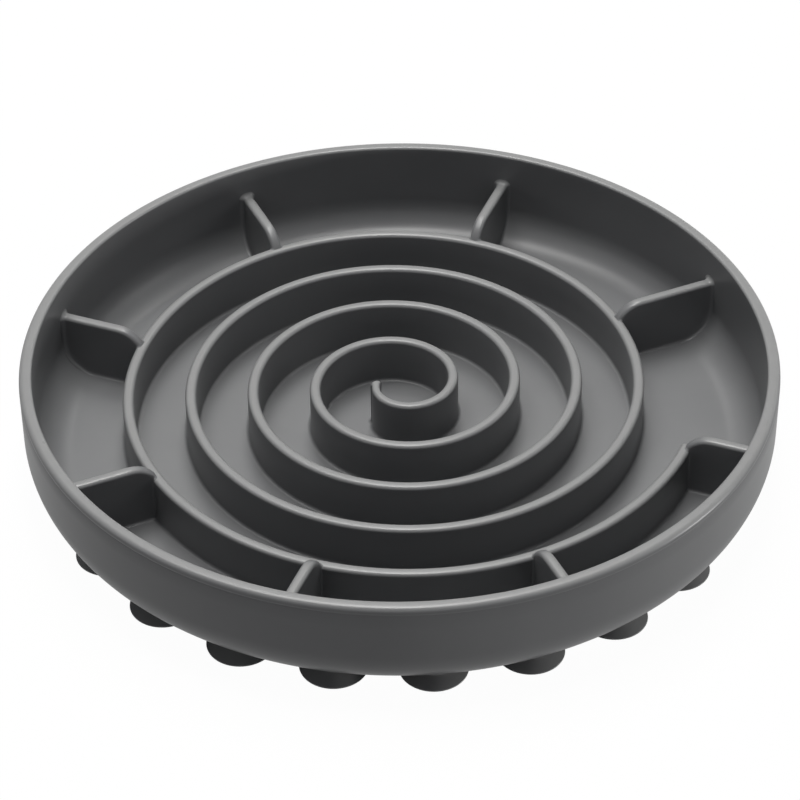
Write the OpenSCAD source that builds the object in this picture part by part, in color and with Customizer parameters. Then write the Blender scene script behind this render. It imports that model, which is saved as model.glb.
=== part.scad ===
// Slow feeder bowl in soft silicone: a round dish with a spiral wall on its floor, short
// dividers between the spiral and the outer wall, and a ring of suction cups underneath.
// The origin is on the bowl's axis, on the plane of the suction cups' lips. +Z is up and
// -Y is the side that faces the viewer.

/* [Bowl] */
// Outside diameter of the bowl
bowl_d = 220; // [200:1:260]
// Height of the rim above the plane that the suction cups stand on
bowl_h = 35; // [32:0.5:60]
// Thickness of the outer wall
wall_t = 3.7; // [2.5:0.1:5]
// Rounding of the rim's inner edge
rim_inner_r = 0.5; // [0.3:0.1:0.8]
// Rounding of the rim's outer edge
rim_outer_r = 1; // [0.9:0.1:1.5]
// Thickness of the floor
floor_t = 3; // [2:0.1:5]
// Outside rounding between the outer wall and the underside
heel_r = 15; // [10:0.5:18]
// Inside fillet between the outer wall and the floor
cove_r = 10; // [5:0.5:12]

/* [Spiral wall] */
// Height of the spiral wall above the floor
spiral_h = 14.6; // [8:0.1:18]
// Thickness of the spiral wall
spiral_t = 3.3; // [2.4:0.1:4.5]
// Clear width between the outer wall and the spiral where the spiral starts
moat_w = 17; // [14:0.1:24]
// Distance from one turn of the spiral to the next
spiral_pitch = 18.3; // [14:0.1:24]
// Radius of the spiral's centre line at its inner tip
eye_r = 6.6; // [5:0.1:12]
// How far the centre of the spiral lies behind the axis of the bowl
spiral_shift = 5.7; // [0:0.1:7]
// Fillet at the foot of the spiral and of the dividers
foot_r = 1; // [0.6:0.1:1.6]
// Rounding of the upper edges of the spiral and of the dividers
crest_r = 1; // [0.5:0.1:1.1]

/* [Dividers] */
// Height of the dividers above the floor
divider_h = 18.8; // [15:0.1:22]
// Thickness of a divider
divider_t = 3.3; // [2.4:0.1:4.5]
// Sideways shift of each divider from the line through the axis
divider_offset = 5.5; // [0:0.1:8]
// Direction of the first divider, counterclockwise from +X
divider_angle = 113.7; // [105:0.1:120]
// Rounding of the corner where a divider drops to the spiral
divider_corner_r = 6; // [4:0.1:8]
// Fillet in plan where a divider meets the outer wall
divider_flare_r = 2; // [1:0.1:3]

/* [Suction cups] */
// Diameter of a suction cup at its lip
cup_d = 19.3; // [14:0.1:22]
// Height of a suction cup from its lip to the underside of the bowl
cup_h = 2.7; // [2:0.1:6]
// Distance from the outside of the bowl in to the centres of the suction cups
cup_inset = 14.5; // [12:0.5:25]
// Direction of the first suction cup, counterclockwise from +X
cup_angle = 209.7; // [200:0.1:220]
// Thickness of a cup's lip at its edge
cup_lip_t = 0.5; // [0.3:0.05:1]
// Diameter of the neck between a cup and the underside
cup_neck_d = 10; // [6:0.1:12]
// Depth of the hollow under a cup
cup_hollow = 1.1; // [0.5:0.1:1.5]

/* [Hidden] */
// Dividers around the bowl
DIVIDERS = 8;
// Suction cups around the bowl
CUPS = 22;
// Stretches that the outer wall is divided into, counterclockwise from +X
QUARTERS = 4;
// Stretches that the spiral wall is divided into, from the outside in
RUNS = 5;
// The divider that the spiral starts at
START_DIVIDER = 4;

$fn = 96;
// Overrun of cutting shapes past what they cut
over = 1;
// Clearance between the end of a divider and the spiral wall that it stands against
seam = 0.1;
// How much rounder the foot of that clearance is than the spiral's own
seam_foot = 0.3;
// Share of the spiral's thickness by which a divider's rounded end reaches over it
lap_share = 0.4;
// Depth by which a divider's foot fillets run below the floor, so that they end in an edge on it
foot_sink = 0.05;
// Depth by which the round of a flare cuts into the faces that it joins
flare_bite = 0.1;
// Steps of the search for the place where a divider meets the spiral
search_steps = 6;
// Angle by which a divider may stand ahead of the spiral's start and still meet its first turn
slack_angle = 5;
// Angle from one section of the spiral to the next
section_angle = 6;
// Angle from the direction of the spiral to the faces of its wall
face_angle = 90;
// Angles of the points on the rounded upper edges and on the foot fillet of the spiral
top_angles = [0, 30, 60, 90];
foot_angles = [270, 225, 180];
// Angles of the sections that round off the spiral's tips, from its side to its nose
tip_angles = [22.5, 45, 67.5, 90];

bowl_r = bowl_d / 2;
floor_z = cup_h + floor_t;
inner_r = bowl_r - wall_t;
// The floor disc ends where the underside and the floor both start to curve
disc_r = min(bowl_r - heel_r, inner_r - cove_r);

spiral_r = inner_r - moat_w - spiral_t / 2;
spiral_sweep = 360 * (spiral_r - eye_r) / spiral_pitch;
// The spiral starts where its radius crosses the centre line of the divider that it starts at
spiral_start = direction_of(from_eye(divider_point(
    START_DIVIDER, along_to(START_DIVIDER, spiral_r, spiral_r, search_steps))));

silicone = [0.33, 0.34, 0.35];
cup_silicone = [0.27, 0.28, 0.29];

// The bowl in section, radius along x and height along y

// Region within a radius, above a level, with its lower corner rounded
module dish_section(radius, bottom, corner, top) {
    translate([0, bottom]) square([radius - corner, top - bottom]);
    translate([0, bottom + corner]) square([radius, top - bottom - corner]);
    translate([radius - corner, bottom])
        intersection() {
            translate([0, corner]) circle(r = corner);
            square(corner);
        }
}

module outside_section() {
    dish_section(bowl_r, cup_h, heel_r, bowl_h - rim_outer_r);
}

module cavity_section() {
    dish_section(inner_r, floor_z, cove_r, bowl_h + over);
}

// Top of the outer wall, flat between its two rounded edges
module rim_section() {
    rim_t = wall_t - rim_outer_r;
    translate([inner_r, bowl_h - rim_outer_r]) {
        square([rim_t, rim_outer_r - rim_inner_r]);
        translate([rim_inner_r, 0]) square([rim_t - rim_inner_r, rim_outer_r]);
        translate([rim_inner_r, rim_outer_r - rim_inner_r]) circle(r = rim_inner_r);
        translate([rim_t, 0]) circle(r = rim_outer_r);
    }
}

module floor_disc() {
    color(silicone)
    translate([0, 0, cup_h]) cylinder(r = disc_r, h = floor_t);
}

module outer_wall(i) {
    quarter_angle = 360 / QUARTERS;
    color(silicone)
    rotate([0, 0, quarter_angle * (i - 1)])
    rotate_extrude(angle = quarter_angle) {
        difference() {
            outside_section();
            cavity_section();
            square([disc_r, floor_z + over]);
        }
        rim_section();
    }
}

// Lines and points of the floor plan that the spiral and the dividers share

function divider_direction(i) = divider_angle - 360 / DIVIDERS * (i - 1);

// Point of a divider's centre line, at a distance along it
function divider_point(i, along) =
    let (d = divider_direction(i))
    along * [cos(d), sin(d)] + divider_offset * [-sin(d), cos(d)];

// A point seen from the centre of the spiral, and the direction of such a point
function from_eye(p) = p - [0, spiral_shift];
function direction_of(p) = atan2(p[1], p[0]);

// Distance along a divider to a radius about the spiral's centre, found by closing in on it
function along_to(i, radius, along, tries) =
    tries == 0
        ? along
        : along_to(i, radius, along + radius - norm(from_eye(divider_point(i, along))), tries - 1);

// The spiral wall: an even spiral that runs clockwise from its outer tip to its inner tip

function spiral_radius(u) = spiral_r - spiral_pitch * u / 360;

// Point on the centre line after a turn of u degrees, seen from the bowl's axis
function spiral_point(u) =
    spiral_radius(u) * [cos(spiral_start - u), sin(spiral_start - u)] + [0, spiral_shift];

// Direction of travel along the centre line, as an angle counterclockwise from +X
function spiral_heading(u) =
    spiral_start - u - 90 - atan2(-spiral_pitch / (2 * PI), spiral_radius(u));

// Half of the wall's section from foot to crest: [distance from the centre plane, height]
half_section = concat(
    [for (a = foot_angles)
        [spiral_t / 2 + foot_r + foot_r * cos(a), foot_r + foot_r * sin(a)]],
    [for (a = top_angles)
        [spiral_t / 2 - crest_r + crest_r * cos(a), spiral_h - crest_r + crest_r * sin(a)]]
);
half_count = len(half_section);
section_count = 2 * half_count;

// One half of a section placed at a point of the floor plan, facing along an angle
function placed_half(at, facing) =
    [for (p = half_section)
        [at[0] + p[0] * cos(facing), at[1] + p[0] * sin(facing), floor_z + p[1]]];

function reversed(list) = [for (i = [len(list) - 1:-1:0]) list[i]];

// A whole section, whose two halves face away from each other when spread is a right angle
function section_at(u, nose, spread) = concat(
    placed_half(spiral_point(u), nose + spread),
    reversed(placed_half(spiral_point(u), nose - spread))
);

// Sections from one turn angle to another, with rounded tips where they are asked for
function run_sections(from, to, open_tip, close_tip) =
    let (steps = ceil((to - from) / section_angle))
    concat(
        open_tip
            ? [for (a = reversed(tip_angles)) section_at(from, spiral_heading(from), face_angle + a)]
            : [],
        [for (i = [0:steps])
            let (u = from + (to - from) * i / steps)
            section_at(u, spiral_heading(u), face_angle)],
        close_tip
            ? [for (a = tip_angles) section_at(to, spiral_heading(to), face_angle - a)]
            : []
    );

// Number of a section's point in the list of all points. The two halves of a section at
// the nose of a tip coincide, so the second half takes the numbers of the first
function point_number(section, j, last, open_tip, close_tip) =
    let (
        nose = (section == 0 && open_tip) || (section == last && close_tip),
        k = j % section_count
    )
    section * section_count + (nose && k >= half_count ? section_count - 1 - k : k);

function is_triangle(t) = t[0] != t[1] && t[1] != t[2] && t[2] != t[0];

// Flat end of a run, as a fan of triangles
function end_faces(first, flip) =
    [for (k = [1:section_count - 2])
        flip ? [first, first + k + 1, first + k] : [first, first + k, first + k + 1]];

module spiral_solid(from, to, open_tip, close_tip) {
    sections = run_sections(from, to, open_tip, close_tip);
    last = len(sections) - 1;
    skin = [for (i = [0:last - 1]) for (j = [0:section_count - 1])
        let (
            a = point_number(i, j, last, open_tip, close_tip),
            b = point_number(i, j + 1, last, open_tip, close_tip),
            c = point_number(i + 1, j + 1, last, open_tip, close_tip),
            d = point_number(i + 1, j, last, open_tip, close_tip)
        )
        each [[a, b, c], [a, c, d]]];
    polyhedron(
        points = [for (s = sections) each s],
        faces = concat(
            [for (t = skin) if (is_triangle(t)) t],
            open_tip ? [] : end_faces(0, true),
            close_tip ? [] : end_faces(last * section_count, false)
        )
    );
}

// The first run is the whole turn that the dividers stand against, and the others share the rest
function run_end(i) = 360 + (spiral_sweep - 360) * (i - 1) / (RUNS - 1);

module spiral_run(i) {
    color(silicone)
    spiral_solid(i == 1 ? 0 : run_end(i - 1), run_end(i), i == 1, i == RUNS);
}

// The dividers: eight alike, each shifted sideways from the line through the axis

// Turn of the spiral's first turn in the direction of a point
function turn_at(p) =
    let (turn = spiral_start - direction_of(from_eye(p)))
    turn - 360 * floor((turn + slack_angle) / 360);

// Distance along a divider to the outer face of the spiral, found by closing in on it
function face_along(i, along, tries) =
    let (radius = spiral_radius(turn_at(divider_point(i, along))) + spiral_t / 2)
    tries == 0 ? along : face_along(i, along_to(i, radius, along, 1), tries - 1);

// Top of a wall, from the level up where its edges start to round
module crest_section(thickness) {
    flat = thickness / 2 - crest_r;
    translate([-flat, 0]) square([2 * flat, crest_r]);
    for (x = [-flat, flat]) translate([x, 0]) circle(r = crest_r);
}

// Wall section: straight sides, a foot fillet on both sides and a rounded or a square top
module wall_section(thickness, height, foot, rounded) {
    side = thickness / 2;
    body_h = rounded ? height - crest_r : height;
    translate([-side, -foot_sink]) square([thickness, body_h + foot_sink]);
    if (rounded) {
        translate([0, body_h]) crest_section(thickness);
    }
    difference() {
        translate([-side - foot, -foot_sink]) square([thickness + 2 * foot, foot]);
        for (x = [-1, 1]) translate([x * (side + foot), foot - foot_sink]) circle(r = foot);
    }
}

// The divider's sides run round into the outer wall, up to where its upper edges round. The
// round bites a little into both faces, so that the flare ends in an edge on each
module divider_flares() {
    side = divider_t / 2;
    reach = side + divider_flare_r - flare_bite;
    depth = inner_r - divider_flare_r + flare_bite;
    translate([0, 0, floor_z])
        linear_extrude(divider_h - crest_r)
            for (y = [-reach, reach]) {
                x = sqrt(pow(depth, 2) - pow(divider_offset + y, 2));
                difference() {
                    translate([x, min(y, 0)]) square([bowl_r - x, reach]);
                    translate([x, y]) circle(r = divider_flare_r);
                }
            }
}

// A divider from its rounded inner end out past the outer wall, along +X
module divider_blank(start) {
    straight = start + divider_corner_r;
    side = divider_t / 2;
    translate([straight, 0, floor_z])
        rotate([90, 0, 90])
            linear_extrude(bowl_r - straight)
                wall_section(divider_t, divider_h, foot_r, true);
    translate([start, 0, floor_z])
        rotate([90, 0, 90])
            linear_extrude(divider_corner_r)
                wall_section(divider_t, divider_h - divider_corner_r, foot_r, false);
    translate([straight, 0, floor_z + divider_h - divider_corner_r])
        rotate([90, 0, 0])
            rotate([0, 0, 90])
                rotate_extrude(angle = 90) {
                    translate([0, -side]) square([divider_corner_r - crest_r, divider_t]);
                    translate([divider_corner_r - crest_r, 0])
                        intersection() {
                            rotate([0, 0, -90]) crest_section(divider_t);
                            translate([0, -side]) square([crest_r, divider_t]);
                        }
                }
}

// The room that the spiral wall takes at a divider, with everything within it
module spiral_room(i, start) {
    radius = spiral_radius(turn_at(divider_point(i, start)));
    translate([0, spiral_shift, floor_z])
        rotate_extrude() {
            translate([0, -over]) square([radius, divider_h + 2 * over]);
            translate([radius, 0])
                wall_section(spiral_t + 2 * seam, spiral_h + seam, foot_r + seam_foot, true);
        }
}

module divider(i) {
    start = face_along(i, spiral_r, search_steps);
    color(silicone)
    difference() {
        intersection() {
            rotate([0, 0, divider_direction(i)])
                translate([0, divider_offset, 0]) {
                    divider_blank(start - lap_share * spiral_t);
                    divider_flares();
                }
            rotate_extrude() cavity_section();
        }
        spiral_room(i, start);
    }
}

// The suction cups: shallow discs on a short neck, hollow underneath

function cup_name(i) = str("suction_cup_", i < 10 ? "0" : "", i);

// A cup in section, with its neck run on into the bowl
module cup_section() {
    lip_r = cup_d / 2;
    neck_r = cup_neck_d / 2;
    // The hollow is a shallow cap of a sphere, as wide as the cup less its lip
    hollow_r = lip_r - cup_lip_t;
    sphere_r = (pow(hollow_r, 2) + pow(cup_hollow, 2)) / (2 * cup_hollow);
    difference() {
        union() {
            polygon([[0, 0], [lip_r, 0], [lip_r, cup_lip_t], [neck_r, cup_h - cup_lip_t], [0, cup_h]]);
            square([neck_r, cup_h + heel_r]);
        }
        intersection() {
            translate([0, cup_hollow - sphere_r]) circle(r = sphere_r, $fn = 4 * $fn);
            square([lip_r, cup_h]);
        }
    }
}

module suction_cup(i) {
    color(cup_silicone)
    difference() {
        rotate([0, 0, cup_angle + 360 / CUPS * (i - 1)])
            translate([bowl_r - cup_inset, 0, 0]) rotate_extrude() cup_section();
        rotate_extrude() outside_section();
    }
}

floor_disc();
for (i = [1:QUARTERS]) outer_wall(i);
for (i = [1:RUNS]) spiral_run(i);
for (i = [1:DIVIDERS]) divider(i);
for (i = [1:CUPS]) suction_cup(i);
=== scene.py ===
"""Slow feeder bowl in soft silicone, dressed for a plain studio picture.

Each piece stands where its CAD nodes stand, and the sizes repeat those of the CAD source. The
surfaces are modelled again with finer roundings than the solids have: the spiral with its
rounded top, foot fillets and tips, the dividers with the flares that run out into the outer
wall and the spiral, the shell with its cove, heel and rim, and the suction cups with their
thin lips. Sizes are in millimetres and angles in degrees until a mesh is made. The lamps,
the point they are aimed at, the camera's reach and the finishes' node groups are in metres.
"""

import logging
import math
from dataclasses import dataclass, field
from enum import Enum

import bmesh
import bpy
from mathutils import Matrix, Vector


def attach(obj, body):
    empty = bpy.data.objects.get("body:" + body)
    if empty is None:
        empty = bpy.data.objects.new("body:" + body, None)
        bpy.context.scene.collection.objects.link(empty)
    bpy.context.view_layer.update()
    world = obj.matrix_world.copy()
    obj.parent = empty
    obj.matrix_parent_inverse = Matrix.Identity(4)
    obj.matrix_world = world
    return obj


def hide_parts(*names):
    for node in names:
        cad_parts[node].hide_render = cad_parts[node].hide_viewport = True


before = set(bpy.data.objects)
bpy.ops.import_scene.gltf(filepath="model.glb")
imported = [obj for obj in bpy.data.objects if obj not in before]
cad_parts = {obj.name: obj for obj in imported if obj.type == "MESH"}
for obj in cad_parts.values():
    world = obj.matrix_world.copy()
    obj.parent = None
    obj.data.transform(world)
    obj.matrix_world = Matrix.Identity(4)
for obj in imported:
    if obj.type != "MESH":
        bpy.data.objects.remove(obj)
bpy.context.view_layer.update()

LOG = logging.getLogger("slow_feeder")
MM = 0.001
JOIN_MM = 0.002
SLIVER_MM = 0.001
NOISE_MIDDLE = 0.5
Pair = tuple[float, float]
Triple = tuple[float, float, float]


class Slot(Enum):
    """Material slots of the record."""

    MOULDING = "silicone"
    CUPS = "cup_silicone"


class Side(Enum):
    """The two faces of a divider, seen from the axis of the bowl outwards."""

    LEFT = 1
    RIGHT = -1


# ---------------------------------------------------------------- meshes


def arc(centre: Pair, radius: float, start: float, end: float, steps: int) -> list[Pair]:
    """Points of a circular arc.

    Args:
        centre: Centre of the arc.
        radius: Radius of the arc.
        start: Angle of the first point, in degrees.
        end: Angle of the last point, in degrees.
        steps: Number of stretches between the points.

    Returns:
        The points from start to end, both included.
    """
    angles = [math.radians(start + (end - start) * k / steps) for k in range(steps + 1)]
    return [(centre[0] + radius * math.cos(a), centre[1] + radius * math.sin(a)) for a in angles]


def fillet(distance: float, radius: float) -> float:
    """How far a face has curved out at a distance from the face that a fillet runs into.

    Args:
        distance: Distance from the other face, negative inside it.
        radius: Radius of the fillet.

    Returns:
        The radius at the other face, falling to nothing at a radius from it.
    """
    if radius <= 0:
        return 0.0
    left = radius - min(max(distance, 0.0), radius)
    return radius - math.sqrt(max(radius * radius - left * left, 0.0))


@dataclass
class MeshMaker:
    """Collects the points and faces of one piece in millimetres."""

    name: str
    points: list[Triple] = field(default_factory=list)
    faces: list[list[int]] = field(default_factory=list)

    def loop(self, points: list[Triple]) -> list[int]:
        """Add a row of points.

        Args:
            points: The points, in order.

        Returns:
            Their numbers.
        """
        first = len(self.points)
        self.points.extend(points)
        return list(range(first, first + len(points)))

    def bridge(self, near: list[int], far: list[int]) -> None:
        """Join two closed rows of equal length with a strip of faces.

        Args:
            near: Point numbers of one row.
            far: Point numbers of the other row.
        """
        for k in range(len(near)):
            m = (k + 1) % len(near)
            self.faces.append([near[k], near[m], far[m], far[k]])

    def cap(self, row: list[int]) -> None:
        """Close a row of points with one face."""
        self.faces.append(list(row))

    def build(self, sharp: float = 40.0) -> bpy.types.Object:
        """Make the object, with points that coincide joined and its faces turned outwards.

        Args:
            sharp: Angle in degrees above which an edge stays sharp.

        Returns:
            The object, linked into the scene.
        """
        mesh = bpy.data.meshes.new(self.name)
        mesh.from_pydata([tuple(MM * c for c in p) for p in self.points], [], self.faces)
        work = bmesh.new()
        work.from_mesh(mesh)
        bmesh.ops.remove_doubles(work, verts=work.verts, dist=JOIN_MM * MM)
        bmesh.ops.dissolve_degenerate(work, edges=work.edges, dist=SLIVER_MM * MM)
        bmesh.ops.recalc_face_normals(work, faces=work.faces)
        work.to_mesh(mesh)
        work.free()
        mesh.polygons.foreach_set("use_smooth", [True] * len(mesh.polygons))
        mesh.set_sharp_from_angle(angle=math.radians(sharp))
        thing = bpy.data.objects.new(self.name, mesh)
        bpy.context.scene.collection.objects.link(thing)
        return thing


def turned(name: str, profile: list[Pair], segments: int, centre: Pair = (0.0, 0.0)) -> MeshMaker:
    """Turn a closed profile round an upright axis.

    Args:
        name: Name of the piece.
        profile: Radius and height of each point, closed by itself or on the axis.
        segments: Number of steps round the axis.
        centre: Where the axis stands.

    Returns:
        The maker that holds the turned surface.
    """
    maker = MeshMaker(name)
    rows = []
    for k in range(segments):
        a = 2 * math.pi * k / segments
        rows.append(maker.loop([(centre[0] + r * math.cos(a), centre[1] + r * math.sin(a), z)
                                for r, z in profile]))
    for k in range(segments):
        maker.bridge(rows[k], rows[(k + 1) % segments])
    return maker


# ---------------------------------------------------------------- sizes


@dataclass(frozen=True)
class ShellSizes:
    """Measures of the round dish that its parts share."""

    outer_r: float = 110.0
    wall_t: float = 3.7
    rim_z: float = 35.0
    underside_z: float = 2.7
    floor_z: float = 5.7
    heel_r: float = 15.0
    cove_r: float = 10.0
    disc_r: float = 95.0
    rim_inner_r: float = 0.8
    rim_outer_r: float = 1.5
    seam_drop: float = 2.2
    seam_depth: float = 0.12

    @property
    def inner_r(self) -> float:
        """Radius of the wall's inner face."""
        return self.outer_r - self.wall_t

    def floor_at(self, radius: float) -> float:
        """Height of the inside surface at a radius, up to the top of the cove.

        Args:
            radius: Distance from the axis.

        Returns:
            The height above the standing plane.
        """
        out = min(max(radius - (self.inner_r - self.cove_r), 0.0), self.cove_r)
        return self.floor_z + self.cove_r - math.sqrt(self.cove_r ** 2 - out ** 2)

    def clearance(self, radius: float, height: float) -> float:
        """Distance of a point in the bowl from its floor, cove or wall.

        Args:
            radius: Distance of the point from the axis.
            height: Height of the point above the standing plane.

        Returns:
            The distance, negative inside the material.
        """
        turn_r, turn_z = self.inner_r - self.cove_r, self.floor_z + self.cove_r
        if radius > turn_r and height < turn_z:
            return self.cove_r - math.hypot(radius - turn_r, height - turn_z)
        return min(height - self.floor_z, self.inner_r - radius)


@dataclass(frozen=True)
class SpiralSizes:
    """Measures of the spiral wall, which runs clockwise from its outer tip to its inner tip.

    Its own axis stands shift behind the bowl's.
    """

    start_r: float = 87.65
    pitch: float = 18.3
    start_angle: float = 338.8237
    sweep: float = 1588.6
    shift: float = 5.7
    height: float = 14.6
    thickness: float = 3.3
    foot_r: float = 1.0
    crest_r: float = 1.15

    def radius(self, turn: float) -> float:
        """Radius of the centre line after a turn in degrees."""
        return self.start_r - self.pitch * turn / 360

    def point(self, turn: float) -> Pair:
        """Place of the centre line after a turn in degrees."""
        a, r = math.radians(self.start_angle - turn), self.radius(turn)
        return r * math.cos(a), r * math.sin(a) + self.shift

    def heading(self, turn: float) -> float:
        """Direction of travel after a turn in degrees, counterclockwise from +X."""
        lean = math.degrees(math.atan2(-self.pitch / (2 * math.pi), self.radius(turn)))
        return self.start_angle - turn - 90 - lean

    def outer_face(self, x: float, y: float, slack: float = 5.0) -> tuple[float, float]:
        """Radii about the spiral's centre of a point and of the outer face behind it.

        Args:
            x: Place of the point to the right of the axis.
            y: Place of the point behind the axis.
            slack: Degrees by which the point may lie ahead of the outer tip.

        Returns:
            The point's own radius and the radius of the outer face in its direction.
        """
        turn = self.start_angle - math.degrees(math.atan2(y - self.shift, x))
        turn -= 360 * math.floor((turn + slack) / 360)
        return math.hypot(x, y - self.shift), self.radius(turn) + self.thickness / 2


# ---------------------------------------------------------------- finishes


class NodeMaker:
    """Adds nodes to one shader tree and links them."""

    def __init__(self, tree: bpy.types.NodeTree) -> None:
        """Keep the tree that the nodes go into."""
        self.tree = tree

    def node(self, kind: str, values: dict[str, object] | None = None,
             **traits: object) -> bpy.types.Node:
        """Add a node.

        Args:
            kind: Type of the node.
            values: Values or output sockets for its inputs, by the name of the input.
            **traits: Properties of the node itself.

        Returns:
            The node.
        """
        made = self.tree.nodes.new(kind)
        for label, trait in traits.items():
            setattr(made, label, trait)
        for label, value in (values or {}).items():
            self.feed(made.inputs[label], value)
        return made

    def feed(self, socket: bpy.types.NodeSocket, value: object) -> None:
        """Link an output socket to an input, or set the input's own value.

        Args:
            socket: The input.
            value: An output socket, or a plain value.
        """
        if isinstance(value, bpy.types.NodeSocket):
            self.tree.links.new(value, socket)
        else:
            socket.default_value = value

    def joined(self, kind: str, values: tuple[object, ...], **traits: object
               ) -> bpy.types.NodeSocket:
        """Add a node whose inputs are filled in their own order.

        Args:
            kind: Type of the node.
            values: Values or output sockets for its first inputs.
            **traits: Properties of the node itself.

        Returns:
            The socket of its first output.
        """
        made = self.node(kind, **traits)
        for socket, value in zip(made.inputs, values):
            self.feed(socket, value)
        return made.outputs[0]

    def maths(self, operation: str, *values: object, clamp: bool = False) -> bpy.types.NodeSocket:
        """Add a Math node.

        Args:
            operation: The operation of the node.
            *values: Its values or sockets.
            clamp: Whether the result is held between 0 and 1.

        Returns:
            The result's socket.
        """
        return self.joined("ShaderNodeMath", values, operation=operation, use_clamp=clamp)

    def placed(self, effect: bpy.types.NodeTree, values: dict[str, object]
               ) -> bpy.types.NodeOutputs:
        """Place a shared group and set its inputs.

        Args:
            effect: The group's tree.
            values: Values or output sockets for its inputs, by the name of the input.

        Returns:
            The outputs of the group's node.
        """
        return self.node("ShaderNodeGroup", values, node_tree=effect).outputs

    def colours(self, share: object, first: object, second: object) -> bpy.types.NodeSocket:
        """Mix two colours.

        Args:
            share: Share of the second colour.
            first: First colour or socket.
            second: Second colour or socket.

        Returns:
            The mixed colour's socket.
        """
        return self.node("ShaderNodeMix", {"Factor": share, "A": first, "B": second},
                         data_type="RGBA").outputs["Result"]


class GroupMaker(NodeMaker):
    """Builds one shader node group with named sockets."""

    def __init__(self, name: str, inputs: dict[str, object], outputs: dict[str, str]) -> None:
        """Open an empty group.

        Args:
            name: Name of the group.
            inputs: Default of each input; a tuple makes a colour, a number makes a value.
            outputs: Socket type of each output.
        """
        super().__init__(bpy.data.node_groups.new(name, "ShaderNodeTree"))
        for label, default in inputs.items():
            kind = "NodeSocketColor" if isinstance(default, tuple) else "NodeSocketFloat"
            socket = self.tree.interface.new_socket(name=label, in_out="INPUT", socket_type=kind)
            socket.default_value = default
        for label, kind in outputs.items():
            self.tree.interface.new_socket(name=label, in_out="OUTPUT", socket_type=kind)
        self.inlet = self.tree.nodes.new("NodeGroupInput")
        self.outlet = self.tree.nodes.new("NodeGroupOutput")

    def place(self) -> bpy.types.NodeSocket:
        """The coordinates of the piece itself, in metres."""
        return self.node("ShaderNodeTexCoord").outputs["Object"]

    def noise(self, scale: object, detail: float, roughness: float = 0.5) -> bpy.types.NodeSocket:
        """Add noise in the piece's coordinates.

        Args:
            scale: Waves per metre, as a value or a socket.
            detail: Number of finer layers.
            roughness: Share of the finer layers.

        Returns:
            The noise value's socket.
        """
        return self.node("ShaderNodeTexNoise", {"Vector": self.place(), "Scale": scale,
                                                "Detail": detail,
                                                "Roughness": roughness}).outputs["Fac"]


def moulded_grain() -> bpy.types.NodeTree:
    """Fine eroded grain of the mould and the slow unevenness under it.

    Returns:
        A group that puts out a height and a slow patch value.
    """
    g = GroupMaker("moulded_grain", {"Grain Scale": 3600.0, "Ripple Scale": 90.0, "Ripple": 0.3},
                   {"Height": "NodeSocketFloat", "Patch": "NodeSocketFloat"})
    fine = g.noise(g.inlet.outputs["Grain Scale"], detail=3.0, roughness=0.6)
    ripple = g.noise(g.inlet.outputs["Ripple Scale"], detail=2.0)
    swell = g.maths("MULTIPLY", ripple, g.inlet.outputs["Ripple"])
    g.feed(g.outlet.inputs["Height"], g.maths("ADD", fine, swell))
    g.feed(g.outlet.inputs["Patch"], g.noise(scale=34.0, detail=4.0, roughness=0.62))
    return g.tree


def silicone_bloom() -> bpy.types.NodeTree:
    """The faint powdery bloom that soft silicone shows in patches, with a lighter colour painted
    over the wall tops as a painted highlight.

    Returns:
        A group that puts out the mixed colour.
    """
    g = GroupMaker("silicone_bloom",
                   {"Base": (0.2, 0.2, 0.2, 1.0), "Bloom": (0.25, 0.25, 0.25, 1.0),
                    "Painted Highlight": (0.3, 0.3, 0.3, 1.0), "Patch": 0.5, "Amount": 0.3, "Highlight Mask": 0.0},
                   {"Color": "NodeSocketColor"})
    shaped = g.node("ShaderNodeMapRange", {"Value": g.inlet.outputs["Patch"], "From Min": 0.36,
                                           "From Max": 0.68}).outputs["Result"]
    mask = g.maths("MULTIPLY", shaped, g.inlet.outputs["Amount"])
    powdery = g.colours(mask, g.inlet.outputs["Base"], g.inlet.outputs["Bloom"])
    # painted highlight: the lighter colour laid on where the crest mask is set
    painted_highlight = g.colours(g.inlet.outputs["Highlight Mask"], powdery, g.inlet.outputs["Painted Highlight"])
    g.feed(g.outlet.inputs["Color"], painted_highlight)
    return g.tree


def crest_polish_and_highlight() -> bpy.types.NodeTree:
    """Mask of the top of each wall, uneven: it lowers the roughness there, where hands and tongues
    polish the silicone, and it lays on a lighter colour there, which is a painted highlight.

    Returns:
        A group that puts out the mask of the polished places that also carry the painted
        highlight.
    """
    g = GroupMaker("crest_polish_and_highlight", {"Crest Height": 0.035, "Depth": 0.001, "Unevenness": 0.25},
                   {"Mask": "NodeSocketFloat"})
    height = g.node("ShaderNodeSeparateXYZ", {"Vector": g.place()}).outputs["Z"]
    # mask of the wall tops, used for the roughness polish and for the painted highlight colour
    low = g.maths("SUBTRACT", g.inlet.outputs["Crest Height"], g.inlet.outputs["Depth"])
    ramp = g.node("ShaderNodeMapRange", {"Value": height, "From Min": low,
                                         "From Max": g.inlet.outputs["Crest Height"]})
    uneven = g.maths("MULTIPLY", g.noise(scale=240.0, detail=3.0),
                     g.inlet.outputs["Unevenness"])
    g.feed(g.outlet.inputs["Mask"], g.maths("MULTIPLY", ramp.outputs["Result"],
                                            g.maths("SUBTRACT", 1.0, uneven)))
    return g.tree


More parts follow.
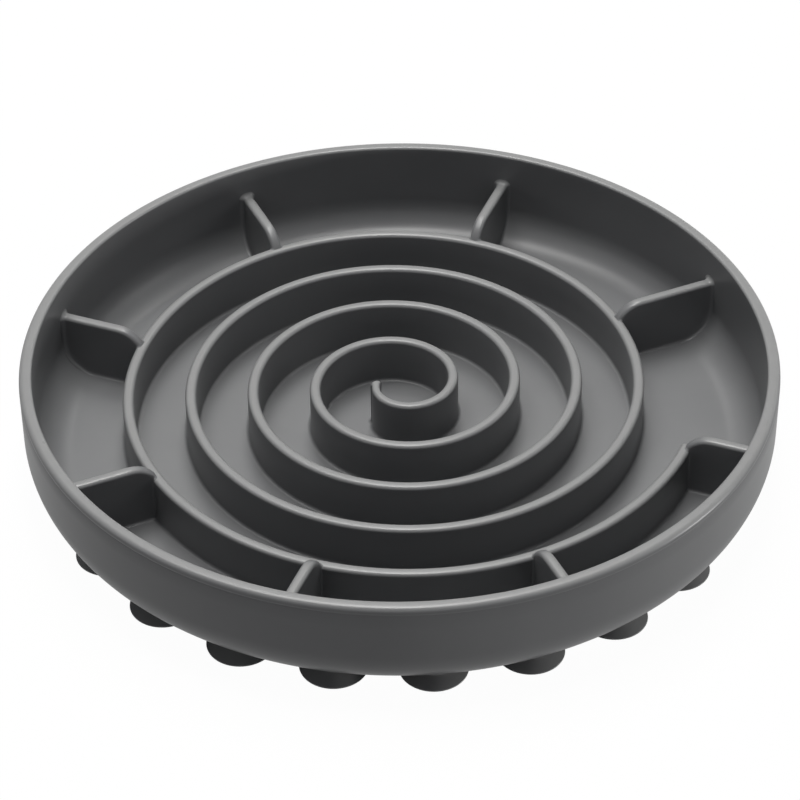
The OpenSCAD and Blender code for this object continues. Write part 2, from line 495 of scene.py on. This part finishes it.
def clinging_lint() -> bpy.types.NodeTree:
    """Single specks of lint that cling to silicone.

    Returns:
        A group that puts out the mask of the specks.
    """
    g = GroupMaker("clinging_lint", {"Cells": 210.0, "Size": 0.035, "Share": 0.16},
                   {"Mask": "NodeSocketFloat"})
    cells = g.node("ShaderNodeTexVoronoi", {"Vector": g.place(),
                                            "Scale": g.inlet.outputs["Cells"]})
    near = g.maths("LESS_THAN", cells.outputs["Distance"], g.inlet.outputs["Size"])
    drawn = g.node("ShaderNodeSeparateColor", {"Color": cells.outputs["Color"]}).outputs["Red"]
    chosen = g.maths("LESS_THAN", drawn, g.inlet.outputs["Share"])
    g.feed(g.outlet.inputs["Mask"], g.maths("MULTIPLY", near, chosen))
    return g.tree


@dataclass(frozen=True)
class Effects:
    """The node groups that the finishes share."""

    grain: bpy.types.NodeTree
    bloom: bpy.types.NodeTree
    # mask of the wall tops: roughness polish and painted highlight
    crest: bpy.types.NodeTree
    lint: bpy.types.NodeTree

    @classmethod
    def made(cls) -> "Effects":
        """Build each group once."""
        return cls(moulded_grain(), silicone_bloom(), crest_polish_and_highlight(), clinging_lint())


@dataclass(frozen=True)
class SiliconeFinish:
    """Matte soft silicone, through-coloured, with a painted highlight on the wall tops."""

    name: str
    colour: Triple = (0.149, 0.151, 0.155)
    bloom: Triple = (0.169, 0.172, 0.174)
    # lighter colour painted on the wall tops as a painted highlight
    painted_highlight: Triple = (0.245, 0.246, 0.246)
    bloom_amount: float = 0.5
    roughness: float = 0.36
    roughness_spread: float = 0.07
    crest_z: float = 35.0
    crest_depth: float = 0.9
    crest_polish: float = 0.08
    grain_scale: float = 3600.0
    grain_depth: float = 0.010
    grain_strength: float = 0.6
    lint: float = 0.10
    lint_colour: Triple = (0.55, 0.55, 0.54)
    shine: float = 0.5
    ior: float = 1.42

    def material(self, effects: Effects) -> bpy.types.Material:
        """Build the material.

        Args:
            effects: The shared node groups.

        Returns:
            The material.
        """
        made = bpy.data.materials.new(self.name)
        made.use_nodes = True
        graph = NodeMaker(made.node_tree)
        shader = graph.tree.nodes["Principled BSDF"]
        shader.inputs["IOR"].default_value = self.ior
        shader.inputs["Specular IOR Level"].default_value = self.shine
        grain = graph.placed(effects.grain, {"Grain Scale": self.grain_scale})
        crest = graph.placed(effects.crest, {"Crest Height": self.crest_z * MM,
                                             "Depth": self.crest_depth * MM})
        # the crest mask lays the painted highlight colour on the wall tops
        bloom = graph.placed(effects.bloom, {"Base": (*self.colour, 1.0),
                                             "Bloom": (*self.bloom, 1.0),
                                             "Painted Highlight": (*self.painted_highlight, 1.0),
                                             "Highlight Mask": crest["Mask"], "Patch": grain["Patch"],
                                             "Amount": self.bloom_amount})
        specks = graph.maths("MULTIPLY", graph.placed(effects.lint, {})["Mask"], self.lint)
        graph.feed(shader.inputs["Base Color"],
                   graph.colours(specks, bloom["Color"], (*self.lint_colour, 1.0)))
        patches = graph.maths("SUBTRACT", grain["Patch"], NOISE_MIDDLE)
        spread = graph.maths("MULTIPLY", patches, self.roughness_spread)
        polish = graph.maths("MULTIPLY", crest["Mask"], self.crest_polish)
        graph.feed(shader.inputs["Roughness"],
                   graph.maths("SUBTRACT", graph.maths("ADD", spread, self.roughness), polish))
        bump = graph.node("ShaderNodeBump", {"Strength": self.grain_strength,
                                             "Distance": self.grain_depth * MM,
                                             "Height": grain["Height"]})
        graph.feed(shader.inputs["Normal"], bump.outputs["Normal"])
        return made


# ---------------------------------------------------------------- pieces


@dataclass
class Piece:
    """A piece of the bowl that stands for CAD nodes and rides with them."""

    name: str
    nodes: list[str]
    slot: Slot

    def maker(self) -> MeshMaker:
        """The piece's mesh, before it is built."""
        raise NotImplementedError

    def dress(self, finish: bpy.types.Material) -> bpy.types.Object:
        """Build the piece, give it its finish and set it in the frame.

        Args:
            finish: The material.

        Returns:
            The object.
        """
        thing = self.maker().build()
        thing.data.materials.append(finish)
        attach(thing, "root")
        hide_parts(*self.nodes)
        LOG.info("%s: %d faces for %s", self.name, len(thing.data.polygons), ", ".join(self.nodes))
        return thing


@dataclass
class FloorDisc(Piece):
    """The flat middle of the dish."""

    sizes: ShellSizes = ShellSizes()
    segments: int = 360
    rings: tuple[float, ...] = (0.0, 12.0, 30.0, 50.0, 70.0, 85.0)

    def maker(self) -> MeshMaker:
        """The disc, with a rim that meets the outer wall's.

        Returns:
            The maker that holds the mesh.
        """
        s = self.sizes
        profile = [(r, s.floor_z) for r in (*self.rings, s.disc_r)]
        profile += [(r, s.underside_z) for r, _ in reversed(profile)]
        return turned(self.name, profile, self.segments)


@dataclass
class OuterWall(Piece):
    """The wall round the dish, from the cove over the rim and down round the heel."""

    sizes: ShellSizes = ShellSizes()
    segments: int = 360
    inner_heights: tuple[float, ...] = (21.0, 27.0, 33.0)
    outer_heights: tuple[float, ...] = (28.0, 23.0)
    seam_section: tuple[Pair, ...] = ((0.0, 0.32), (0.7, 0.14), (1.0, 0.0), (0.7, -0.14),
                                      (0.0, -0.32))
    cove_steps: int = 18
    rim_inner_steps: int = 6
    rim_outer_steps: int = 10
    heel_steps: int = 24

    def maker(self) -> MeshMaker:
        """The wall, turned from its section.

        Returns:
            The maker that holds the mesh.
        """
        s = self.sizes
        profile = [(s.disc_r, s.floor_z)]
        profile += arc((s.inner_r - s.cove_r, s.floor_z + s.cove_r), s.cove_r, -90, 0,
                       self.cove_steps)
        profile += [(s.inner_r, z) for z in self.inner_heights]
        profile += arc((s.inner_r + s.rim_inner_r, s.rim_z - s.rim_inner_r), s.rim_inner_r,
                       180, 90, self.rim_inner_steps)
        profile += [(s.inner_r + s.wall_t / 2, s.rim_z)]
        profile += arc((s.outer_r - s.rim_outer_r, s.rim_z - s.rim_outer_r), s.rim_outer_r,
                       90, 0, self.rim_outer_steps)
        profile += [(s.outer_r - share * s.seam_depth, s.rim_z - s.seam_drop + rise)
                    for share, rise in self.seam_section]
        profile += [(s.outer_r, z) for z in self.outer_heights]
        profile += arc((s.outer_r - s.heel_r, s.underside_z + s.heel_r), s.heel_r, 0, -90,
                       self.heel_steps)
        return turned(self.name, profile, self.segments)


@dataclass
class SpiralWall(Piece):
    """The one long wall on the floor, with a rounded top, foot fillets and rounded tips."""

    sizes: SpiralSizes = SpiralSizes()
    floor_z: float = ShellSizes.floor_z
    sink: float = 0.4
    tip_power: float = 2.8
    tip_steps: int = 10
    foot_steps: int = 6
    crest_steps: int = 8
    stretch: float = 1.9
    least_turn: float = 1.2
    most_turn: float = 4.0

    def half(self, place: Pair, facing: float, fold: float = 0.0) -> list[Triple]:
        """Half of the wall's section, from under the floor to the crest.

        Args:
            place: Point of the centre line.
            facing: Direction that the half faces, in degrees.
            fold: How far the half is folded round a tip, in degrees.

        Returns:
            The points of the half section.
        """
        s = self.sizes
        a, power = math.radians(fold), self.tip_power
        blunt = (math.cos(a) ** power + math.sin(a) ** power) ** (-1 / power)
        side = s.thickness / 2 * blunt
        flat = [(side + s.foot_r, -self.sink)]
        flat += arc((side + s.foot_r, s.foot_r), s.foot_r, 270, 180, self.foot_steps)
        flat += [(side, s.height / 2)]
        flat += arc((side - s.crest_r, s.height - s.crest_r), s.crest_r, 0, 90,
                    self.crest_steps)
        flat += [(0.0, s.height)]
        a = math.radians(facing)
        return [(place[0] + d * math.cos(a), place[1] + d * math.sin(a), self.floor_z + h)
                for d, h in flat]

    def stations(self) -> list[tuple[float, float]]:
        """Turn and spread of each section, with the halves folded round the tips.

        Returns:
            The turn along the spiral and the angle from the heading to each half.
        """
        s = self.sizes
        turns = [0.0]
        while turns[-1] < s.sweep:
            step = math.degrees(self.stretch / s.radius(turns[-1]))
            turns.append(turns[-1] + min(max(step, self.least_turn), self.most_turn))
        turns = [t * s.sweep / turns[-1] for t in turns]
        folds = [90 * k / self.tip_steps for k in range(1, self.tip_steps + 1)]
        return ([(0.0, 90 + f) for f in reversed(folds)] + [(t, 90.0) for t in turns]
                + [(s.sweep, 90 - f) for f in folds])

    def maker(self) -> MeshMaker:
        """The wall, swept along the spiral.

        Returns:
            The maker that holds the mesh.
        """
        maker = MeshMaker(self.name)
        rows = []
        for turn, spread in self.stations():
            place, nose = self.sizes.point(turn), self.sizes.heading(turn)
            fold = abs(spread - 90)
            left = self.half(place, nose + spread, fold)
            right = self.half(place, nose - spread, fold)
            rows.append(maker.loop(left + right[-2::-1]))
        for near, far in zip(rows, rows[1:]):
            maker.bridge(near, far)
        return maker


@dataclass
class Divider(Piece):
    """A short wall from the spiral to the outer wall, flared at both ends.

    Its foot fillet grows to the wall's flare over climb_over past the radius climb_from, where
    the cove rises. Within follow_from of the outer wall its sections lean over, until they lie
    along the wall's face. The sections stand close together at the spiral and at the wall, at
    the distances from_spiral and from_wall, and middle_step apart between them. Over the spiral
    they are lap_step apart up to lap_share of the lap, and the nose is cut at nose_shares of it.
    """

    number: int = 1
    shell: ShellSizes = ShellSizes()
    spiral: SpiralSizes = SpiralSizes()
    height: float = 19.15
    thickness: float = 3.3
    offset: float = 5.5
    first_angle: float = 113.7
    count: int = 8
    corner_r: float = 9.0
    foot_r: float = 1.0
    wall_flare: float = 1.3
    spiral_flare: float = 0.6
    crest_flare: float = 1.3
    crest_r: float = 1.15
    lap: float = 1.6
    lap_share: float = 0.9
    sink: float = 0.5
    at_tip: int = 4
    climb_from: float = 98.0
    climb_over: float = 8.0
    follow_from: float = 12.0
    follow_over: float = 6.0
    follow_width: float = 2.4
    lowest_shoulder: float = 0.5
    foot_room: float = 0.3
    foot_heights: tuple[float, ...] = (0.0, 0.04, 0.12, 0.25, 0.42, 0.66, 1.0)
    side_steps: int = 6
    crest_steps: int = 8
    lap_step: float = 0.1
    middle_step: float = 0.55
    nose_shares: tuple[float, ...] = (0.995, 0.97, 0.93)
    from_spiral: tuple[float, ...] = (0.12, 0.26, 0.42, 0.6, 0.8, 1.05, 1.35, 1.7, 2.1, 2.6,
                                      3.2, 3.9, 4.8)
    from_wall: tuple[float, ...] = (4.0, 3.6, 3.2, 2.85, 2.5, 2.2, 1.9, 1.65, 1.4, 1.2, 1.0,
                                    0.82, 0.66, 0.5, 0.36, 0.24, 0.14, 0.06, 0.0, -0.5)

    @property
    def side(self) -> float:
        """Half of the thickness."""
        return self.thickness / 2

    def to_bowl(self, along: float, across: float) -> Pair:
        """Place in the bowl of a point of the divider's own plan.

        Args:
            along: Distance from the bowl's axis along the divider.
            across: Distance to the left of the divider's centre plane.

        Returns:
            The place right of and behind the bowl's axis.
        """
        a = math.radians(self.first_angle - 360 / self.count * (self.number - 1))
        y = across + self.offset
        return along * math.cos(a) - y * math.sin(a), along * math.sin(a) + y * math.cos(a)

    def radius(self, along: float, across: float) -> float:
        """Distance of a point of the plan from the axis of the bowl."""
        return math.hypot(along, across + self.offset)

    def wall_at(self, across: float) -> float:
        """Distance along the divider to the outer wall's inner face."""
        return math.sqrt(self.shell.inner_r ** 2 - (across + self.offset) ** 2)

    def spiral_at(self, across: float, rounds: int = 12) -> float:
        """Distance along the divider to the spiral's outer face.

        Args:
            across: Distance from the divider's centre plane.
            rounds: How often the first guess is corrected.

        Returns:
            The distance.
        """
        along = self.spiral.start_r
        for _ in range(rounds):
            own, face = self.spiral.outer_face(*self.to_bowl(along, across))
            along += face - own
        return along

    @property
    def corner_reach(self) -> float:
        """How far the rounded corner runs while it falls to the spiral's crest."""
        fall = self.height - self.spiral.height
        return math.sqrt(fall * (2 * self.corner_r - fall))

    def body_half(self, along: float, corner: float) -> float:
        """Half of the width without flares, which rounds off at the inner end.

        Args:
            along: Distance along the divider.
            corner: Distance along the divider to the centre of the rounded corner.

        Returns:
            Half of the width.
        """
        past = max(corner - along - (self.corner_reach - self.crest_r), 0.0)
        return self.side - self.crest_r + math.sqrt(max(self.crest_r ** 2 - past ** 2, 0.0))

    def top_at(self, along: float, across: float, corner: float) -> float:
        """Height of the rounded top above the floor, at a place across the divider.

        Args:
            along: Distance along the divider.
            across: Distance from its centre plane.
            corner: Distance along the divider to the centre of the rounded corner.

        Returns:
            The height above the floor.
        """
        over = max(across - self.side + self.crest_r, 0.0)
        bow = math.sqrt(max(self.crest_r ** 2 - over ** 2, 0.0))
        back = max(corner - along, 0.0)
        reach = self.corner_r - self.crest_r + bow
        return self.height - self.corner_r + math.sqrt(max(reach ** 2 - back ** 2, 0.0))

    def spiral_clearance(self, along: float, face: float, height: float) -> float:
        """Distance of a point from the spiral's outer face and rounded top.

        Args:
            along: Distance along the divider.
            face: Distance along the divider to the spiral's outer face.
            height: Height above the floor.

        Returns:
            The distance, negative inside the spiral.
        """
        round_r = self.spiral.crest_r
        ahead = max(along - face + round_r, 0.0)
        above = max(height - self.spiral.height + round_r, 0.0)
        return math.hypot(ahead, above) - round_r

    def flare(self, along: float, height: float, side: Side) -> float:
        """How far a face has curved out where it nears the floor, outer wall or spiral.

        Args:
            along: Distance along the divider.
            height: Height above the floor.
            side: Which face.

        Returns:
            The added width on that side.
        """
        across = side.value * self.side
        radius = self.radius(along, across)
        climb = min(max((radius - self.climb_from) / self.climb_over, 0.0), 1.0)
        reach = self.foot_r + (self.wall_flare - self.foot_r) * climb
        bowl = fillet(self.shell.clearance(radius, self.shell.floor_z + height), reach)
        free = self.number == self.at_tip and side is Side.LEFT
        near = self.spiral_clearance(along, self.spiral_at(across), height)
        return max(bowl, fillet(near, 0.0 if free else self.spiral_flare))

    def distances(self, start: float, wall: float) -> list[float]:
        """Distances along the divider at which it is cut into sections.

        Args:
            start: Where the spiral's outer face is.
            wall: Where the outer wall's inner face is.

        Returns:
            The distances, from inside the spiral to inside the outer wall.
        """
        inner = [-share * self.lap for share in self.nose_shares]
        laps = int(self.lap_share * self.lap / self.lap_step)
        inner += [-self.lap_step * k for k in range(laps, -1, -1)]
        inner += [*self.from_spiral, self.corner_reach - self.lap]
        first, last = start + inner[-1], wall - self.from_wall[0]
        steps = max(int((last - first) / self.middle_step), 1)
        middle = [first + (last - first) * k / steps for k in range(1, steps)]
        return [start + d for d in inner] + middle + [wall - d for d in self.from_wall]

    def half_section(self, along: float, corner: float, side: Side) -> list[Triple]:
        """Half of a section, from under the floor to the crest.

        Args:
            along: Distance along the divider, at the centre plane.
            corner: Distance along the divider to the centre of the rounded corner.
            side: Which half.

        Returns:
            The points of the half, as places in the bowl.
        """
        body = self.body_half(along, corner)
        to_wall = self.wall_at(0.0) - along
        follow = min(max((self.follow_from - to_wall) / self.follow_over, 0.0), 1.0)
        turned_away = self.wall_at(side.value * self.follow_width) - self.wall_at(0.0)
        skew = follow * turned_away / self.follow_width
        ground = self.shell.floor_at(self.radius(along, side.value * body)) - self.shell.floor_z
        shoulder = max(self.top_at(along, body, corner), ground + self.lowest_shoulder)
        feet = [ground + h for h in self.foot_heights]
        feet = [h for h in feet if h < shoulder - self.foot_room] or [ground]
        rise = shoulder - feet[-1]
        sides = [feet[-1] + rise * k / self.side_steps for k in range(1, self.side_steps)]
        feet += [feet[-1]] * (len(self.foot_heights) - len(feet))
        flat = [(body + self.flare(along, h, side), h) for h in feet + sides]
        flat.insert(0, (flat[0][0], flat[0][1] - self.sink))
        level = max(body - self.crest_r, 0.0)
        lift = fillet(to_wall, self.crest_flare)
        for k in range(self.crest_steps + 1):
            a = math.radians(90 * k / self.crest_steps)
            across = level + (body - level) * math.cos(a)
            h = self.top_at(along, across, corner)
            out = self.flare(along, h, side) * math.cos(a)
            flat.append((across + out, h + lift * math.sin(a)))
        flat.append((0.0, self.top_at(along, 0.0, corner) + lift))
        points = []
        for across, h in flat:
            x, y = self.to_bowl(along + skew * across, side.value * across)
            points.append((x, y, self.shell.floor_z + h))
        return points

    def maker(self) -> MeshMaker:
        """The divider, section by section.

        Returns:
            The maker that holds the mesh.
        """
        maker = MeshMaker(self.name)
        start = self.spiral_at(0.0)
        corner = start - self.lap + self.corner_reach
        rows = []
        for along in self.distances(start, self.wall_at(0.0)):
            left = self.half_section(along, corner, Side.LEFT)
            right = self.half_section(along, corner, Side.RIGHT)
            rows.append(maker.loop(left + right[-2::-1]))
        for near, far in zip(rows, rows[1:]):
            maker.bridge(near, far)
        maker.cap(rows[0])
        maker.cap(rows[-1])
        return maker


@dataclass
class SuctionCup(Piece):
    """A shallow cup on a short neck, with a thin rounded lip."""

    number: int = 1
    count: int = 22
    ring_r: float = 95.5
    first_angle: float = 209.7
    lip_r: float = 9.65
    lip_t: float = 0.5
    neck_r: float = 5.0
    height: float = 2.7
    hollow: float = 1.1
    sink: float = 1.6
    shoulder: tuple[Pair, ...] = ((3.2, 1.0), (1.6, 1.65))
    collar_r: float = 0.9
    collar_rise: float = 0.1
    collar_start: float = 250.0
    lip_end: float = 75.0
    hollow_steps: int = 10
    lip_steps: int = 8
    collar_steps: int = 5
    segments: int = 72

    def maker(self) -> MeshMaker:
        """The cup, turned from its section.

        Returns:
            The maker that holds the mesh.
        """
        bead = self.lip_t / 2
        under_r = self.lip_r - self.lip_t
        ball_r = (under_r ** 2 + self.hollow ** 2) / (2 * self.hollow)
        half = math.degrees(math.asin(under_r / ball_r))
        profile = arc((0.0, self.hollow - ball_r), ball_r, 90, 90 - half, self.hollow_steps)
        profile += arc((self.lip_r - bead, bead), bead, -90, self.lip_end, self.lip_steps)
        profile += [(self.neck_r + out, z) for out, z in self.shoulder]
        profile += arc((self.neck_r + self.collar_r, self.height + self.collar_rise),
                       self.collar_r, self.collar_start, 180, self.collar_steps)
        profile += [(self.neck_r, self.height + self.sink), (0.0, self.height + self.sink)]
        a = math.radians(self.first_angle + 360 / self.count * (self.number - 1))
        centre = (self.ring_r * math.cos(a), self.ring_r * math.sin(a))
        return turned(self.name, profile, self.segments, centre)


@dataclass
class Bowl:
    """The whole bowl: the moulding and its ring of suction cups."""

    effects: Effects
    wall_nodes: int = 4
    spiral_nodes: int = 5
    dividers: int = 8
    cups: int = 22

    def moulding(self) -> list[tuple[Piece, SiliconeFinish]]:
        """The pieces of the moulding.

        Returns:
            Each piece with its finish.
        """
        rim = SiliconeFinish("silicone_shell", crest_z=ShellSizes.rim_z)
        low = SiliconeFinish("silicone_spiral", crest_z=ShellSizes.floor_z + SpiralSizes.height)
        mid = SiliconeFinish("silicone_divider", crest_z=ShellSizes.floor_z + Divider.height)
        pieces: list[tuple[Piece, SiliconeFinish]] = [
            (FloorDisc("bowl_floor", ["floor_disc"], Slot.MOULDING), rim),
            (OuterWall("bowl_wall", [f"outer_wall_{k + 1}" for k in range(self.wall_nodes)],
                       Slot.MOULDING), rim),
            (SpiralWall("spiral_wall", [f"spiral_run_{k + 1}" for k in range(self.spiral_nodes)],
                        Slot.MOULDING), low),
        ]
        for k in range(1, self.dividers + 1):
            pieces.append((Divider(f"flared_divider_{k}", [f"divider_{k}"], Slot.MOULDING,
                                   number=k), mid))
        return pieces

    def suction_ring(self) -> list[tuple[Piece, SiliconeFinish]]:
        """The suction cups.

        Returns:
            Each cup with its finish.
        """
        # the cups are the moulding's silicone given a darker colour as painted shade under the
        # bowl; above 0.4 mm the crest mask lays the lighter painted highlight colour over it
        finish = SiliconeFinish("silicone_cup", colour=(0.105, 0.108, 0.112),
                                bloom=(0.125, 0.127, 0.13), crest_z=0.4, crest_depth=0.4,
                                roughness=0.42)
        return [(SuctionCup(f"lipped_cup_{k:02d}", [f"suction_cup_{k:02d}"], Slot.CUPS, number=k),
                 finish) for k in range(1, self.cups + 1)]

    def build(self) -> list[bpy.types.Object]:
        """Build and dress every piece.

        Returns:
            The objects.
        """
        made: dict[str, bpy.types.Material] = {}
        things = []
        for piece, finish in self.moulding() + self.suction_ring():
            if finish.name not in made:
                made[finish.name] = finish.material(self.effects)
            things.append(piece.dress(made[finish.name]))
        return things


# ---------------------------------------------------------------- studio


@dataclass(frozen=True)
class Softbox:
    """A square area lamp aimed at the bowl, measured in metres and watts."""

    name: str
    azimuth: float
    elevation: float
    size: float
    power: float
    tint: Triple = (1.0, 0.995, 0.98)
    distance: float = 1.6

    def hang(self, target: Vector) -> bpy.types.Object:
        """Make the lamp.

        Args:
            target: The point it is aimed at.

        Returns:
            The lamp object.
        """
        data = bpy.data.lights.new(self.name, "AREA")
        data.shape = "SQUARE"
        data.size = self.size
        data.energy = self.power
        data.color = self.tint
        lamp = bpy.data.objects.new(self.name, data)
        a, e = math.radians(self.azimuth), math.radians(self.elevation)
        away = Vector((math.cos(a) * math.cos(e), math.sin(a) * math.cos(e), math.sin(e)))
        lamp.location = target + away * self.distance
        lamp.rotation_mode = "QUATERNION"
        lamp.rotation_quaternion = away.to_track_quat("Z", "Y")
        bpy.context.scene.collection.objects.link(lamp)
        return lamp


@dataclass
class Studio:
    """Camera, lamps, floor and background."""

    lamps: tuple[Softbox, ...] = (
        Softbox("lamp_top", 270, 89.5, 0.2, 6.5),
        Softbox("lamp_top_back", 90, 84, 0.35, 6.0),
        Softbox("lamp_back", 90, 66, 0.5, 7.8),
        Softbox("lamp_back_low", 90, 55, 0.5, 3.4),
        Softbox("lamp_back_left", 150, 70, 0.5, 7.0),
        Softbox("lamp_front", 270, 13, 0.9, 2.1),
        Softbox("lamp_left", 188, 14, 0.5, 1.1),
        Softbox("lamp_right", -7, 0.8, 0.14, 13.5),
        Softbox("lamp_right_high", 0, 22, 0.7, 2.6),
    )
    ambient: float = 0.012
    air_colour: Triple = (0.6, 0.8, 1.6)
    floor_colour: Triple = (0.27, 0.27, 0.27)
    floor_roughness: float = 0.9
    floor_gloss: float = 0.6
    floor_white: float = 1.06
    floor_white_share: float = 0.92
    floor_radii: tuple[float, float] = (400.0, 12000.0)
    floor_step: int = 5
    target_z: float = 0.015
    camera_place: Triple = (0.054, -682.75, 562.28)
    camera_down: float = 38.595
    camera_roll: float = -0.53
    camera_reach: tuple[float, float] = (0.05, 50.0)
    sensor_width: float = 36.0
    lens_px: float = 2975.12
    picture_px: float = 800.0

    def camera(self) -> bpy.types.Object:
        """Set up the camera at the photograph's viewing angle.

        Returns:
            The camera object.
        """
        data = bpy.data.cameras.new("studio_camera")
        data.sensor_width = self.sensor_width
        data.lens = self.lens_px / self.picture_px * data.sensor_width
        data.clip_start, data.clip_end = self.camera_reach
        e, roll = math.radians(self.camera_down), math.radians(self.camera_roll)
        look = Vector((0, math.cos(e), -math.sin(e)))
        level, upright = Vector((1, 0, 0)), Vector((0, math.sin(e), math.cos(e)))
        right = level * math.cos(roll) + upright * math.sin(roll)
        up = upright * math.cos(roll) - level * math.sin(roll)
        made = bpy.data.objects.new("studio_camera", data)
        axes = Matrix((right, up, -look)).transposed().to_4x4()
        made.matrix_world = Matrix.Translation(Vector(self.camera_place) * MM) @ axes
        bpy.context.scene.collection.objects.link(made)
        bpy.context.scene.camera = made
        return made

    def floor(self) -> bpy.types.Object:
        """Lay the pale floor, which looks white and keeps the bowl's soft shadow.

        Returns:
            The floor object.
        """
        maker = MeshMaker("studio_floor")
        angles = [math.radians(a) for a in range(0, 360, self.floor_step)]
        rows = [maker.loop([(r * math.cos(a), r * math.sin(a), 0.0) for a in angles])
                for r in self.floor_radii]
        maker.bridge(rows[0], rows[1])
        maker.cap(rows[0])
        thing = maker.build()
        thing.data.materials.append(self.floor_finish())
        return thing

    def direct_look(self, graph: NodeMaker, gloss: float = 1.0) -> bpy.types.NodeSocket:
        """Mask of the rays that look at the studio: the camera's, and gloss and glass rays.

        Args:
            graph: Maker of the nodes that need the mask.
            gloss: Share of the mask that gloss rays get.

        Returns:
            The mask's socket.
        """
        path = graph.node("ShaderNodeLightPath").outputs
        either = graph.maths("MAXIMUM", path["Is Camera Ray"], path["Is Transmission Ray"])
        return graph.maths("MULTIPLY_ADD", path["Is Glossy Ray"], gloss, either, clamp=True)

    def floor_finish(self) -> bpy.types.Material:
        """Matte paper: plain to light, and white where it is looked at.

        Returns:
            The material.
        """
        made = bpy.data.materials.new("studio_paper")
        made.use_nodes = True
        graph = NodeMaker(made.node_tree)
        paper = graph.tree.nodes["Principled BSDF"]
        paper.inputs["Base Color"].default_value = (*self.floor_colour, 1.0)
        paper.inputs["Roughness"].default_value = self.floor_roughness
        paper.inputs["Specular IOR Level"].default_value = 0.0
        white = graph.node("ShaderNodeEmission", {"Strength": self.floor_white})
        seen = graph.maths("MULTIPLY", self.direct_look(graph, self.floor_gloss),
                           self.floor_white_share)
        mix = graph.joined("ShaderNodeMixShader", (seen, paper.outputs[0], white.outputs[0]))
        graph.feed(graph.tree.nodes["Material Output"].inputs["Surface"], mix)
        return made

    def sky(self) -> None:
        """White to the camera, and a low even light to the bowl."""
        world = bpy.data.worlds.new("studio_air")
        bpy.context.scene.world = world
        world.use_nodes = True
        graph = NodeMaker(world.node_tree)
        even = graph.tree.nodes["Background"]
        even.inputs["Color"].default_value = (*self.air_colour, 1.0)
        even.inputs["Strength"].default_value = self.ambient
        white = graph.node("ShaderNodeBackground")
        mix = graph.joined("ShaderNodeMixShader",
                           (self.direct_look(graph), even.outputs[0], white.outputs[0]))
        graph.feed(graph.tree.nodes["World Output"].inputs["Surface"], mix)

    def build(self) -> None:
        """Set up the whole studio."""
        self.camera()
        self.floor()
        self.sky()
        target = Vector((0.0, 0.0, self.target_z))
        for lamp in self.lamps:
            lamp.hang(target)
        bpy.context.scene.view_settings.view_transform = "Standard"
        LOG.info("studio: %d lamps", len(self.lamps))


def main() -> None:
    """Build the bowl and its studio in order."""
    logging.basicConfig(level=logging.INFO, format="%(name)s: %(message)s")
    things = Bowl(Effects.made()).build()
    LOG.info("bowl: %d pieces", len(things))
    Studio().build()


if __name__ == "__main__":
    main()
